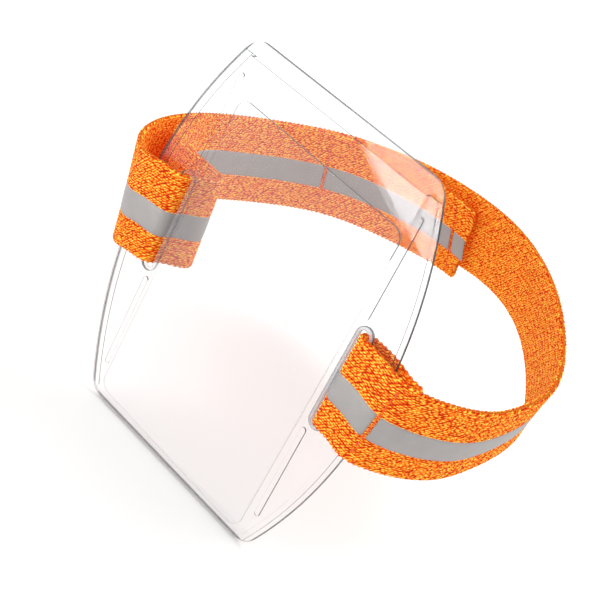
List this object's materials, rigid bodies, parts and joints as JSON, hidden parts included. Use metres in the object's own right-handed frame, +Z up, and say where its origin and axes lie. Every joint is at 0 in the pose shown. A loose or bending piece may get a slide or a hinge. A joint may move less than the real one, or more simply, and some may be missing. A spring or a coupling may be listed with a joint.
{
  "type": "armband badge holder",
  "caption": "Clear vinyl badge pocket with barrel-shaped wings, worn on the arm by an orange elastic strap with a reflective stripe and a hook-and-loop free end.",
  "frame": {"origin": "the wearer's arm axis, level with the middle of the two strap slots and 50 mm behind the plane where the pocket's sheets meet", "axes": "+Z up the pocket towards its open mouth, -Y out of the pocket's front window, +X to the right seen from the front, towards the sewn end of the strap"},
  "size_m": [0.1375, 0.1116, 0.102],
  "materials": {
    "clear_vinyl": "glass-clear flexible vinyl, glossy",
    "clear_card": "clear rigid plastic card, polished",
    "orange_elastic": "fluorescent orange looped-pile elastic webbing",
    "reflective_tape": "grey glass-bead retroreflective tape",
    "hook_tape": "moulded hook fastener, orange",
    "orange_thread": "twisted sewing thread"
  },
  "bodies": {
    "holder": {"back_sheet": "clear_vinyl", "front_sheet": "clear_vinyl", "left_slot_rim": "clear_vinyl", "right_slot_rim": "clear_vinyl", "strap_band": "orange_elastic", "fold_tape": "reflective_tape", "loop_tape": "reflective_tape", "fold_stitches": "orange_thread"},
    "card": {"card_insert": "clear_card"},
    "free_end": {"strap_tail": "orange_elastic", "tail_tape": "reflective_tape", "patch_tape": "reflective_tape", "end_tape": "reflective_tape", "hook_patch": "hook_tape", "patch_stitches": "orange_thread", "end_stitches": "orange_thread"}
  },
  "joints": [
    {"name": "card_slide", "type": "slide", "parent": "holder", "child": "card", "axis": [0, 0, 1], "range_m": [0, 0.09]},
    {"name": "tail_peel", "type": "hinge", "parent": "holder", "child": "free_end", "pos_m": [-0.05687, -0.0233, -0.00545], "axis": [0.2334, 0, -0.9724], "range_deg": [0, 40]}
  ]
}
